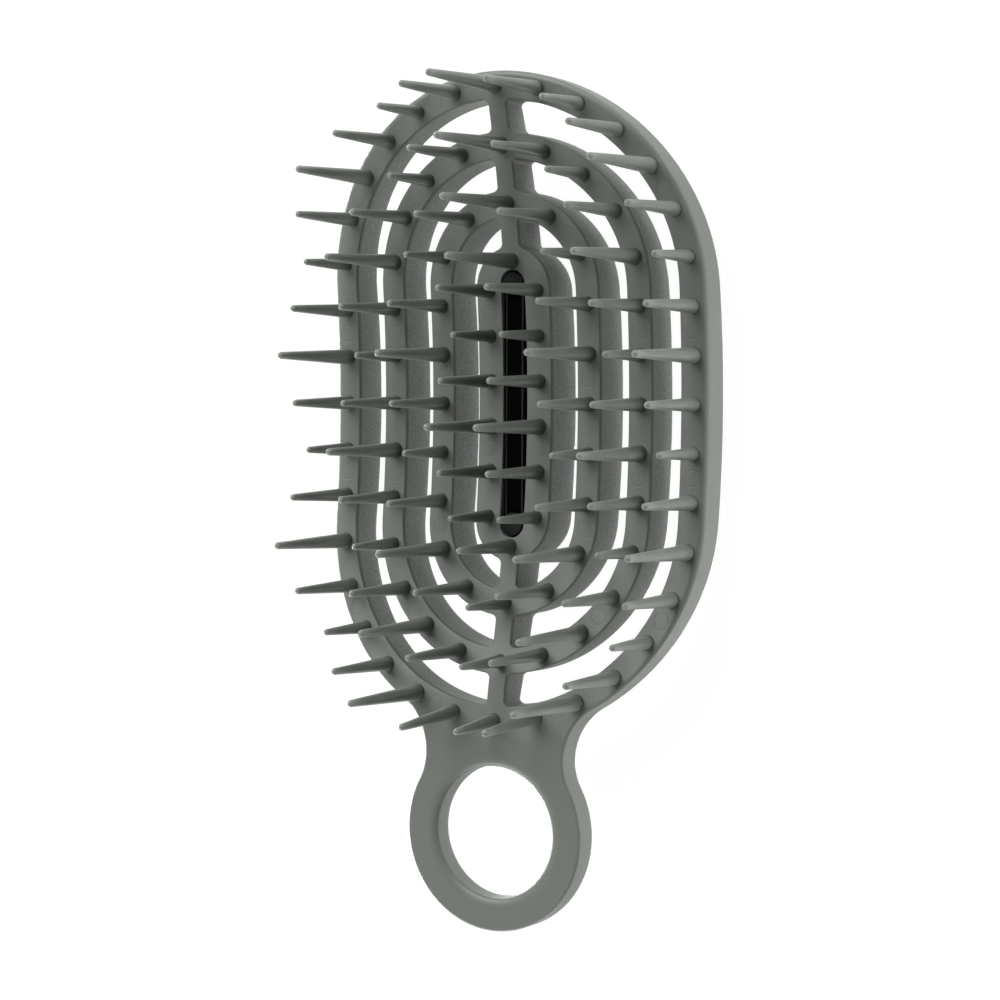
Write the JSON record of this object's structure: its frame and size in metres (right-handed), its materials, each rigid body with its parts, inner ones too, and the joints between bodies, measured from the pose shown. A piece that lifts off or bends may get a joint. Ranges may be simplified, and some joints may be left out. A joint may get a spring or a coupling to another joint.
{
  "type": "detangling brush",
  "caption": "Vented detangling brush: curved head of concentric rings with tapered pins, short neck and finger ring",
  "frame": {"origin": "under the middle of the overall length and width, on the surface that the brush's back rests on", "axes": "+Y along the brush from the finger ring to the head's far end, +X across the head, +Z the way the pins point"},
  "size_m": [0.082, 0.1642, 0.0426],
  "materials": {
    "sage_plastic": "satin moulded plastic, grained on the walls of the gaps",
    "insert_black": "polished black with grained end pads"
  },
  "bodies": {
    "root": {"outer_ring": "sage_plastic", "second_ring": "sage_plastic", "third_ring": "sage_plastic", "centre_island": "sage_plastic", "top_outer_bridge": "sage_plastic", "top_middle_bridge": "sage_plastic", "top_inner_bridge": "sage_plastic", "bottom_inner_bridge": "sage_plastic", "bottom_middle_bridge": "sage_plastic", "bottom_outer_bridge": "sage_plastic", "neck": "sage_plastic", "finger_ring": "sage_plastic", "outer_pins": "sage_plastic", "second_pins": "sage_plastic", "third_pins": "sage_plastic", "centre_pins": "sage_plastic", "centre_insert": "insert_black"}
  },
  "joints": []
}
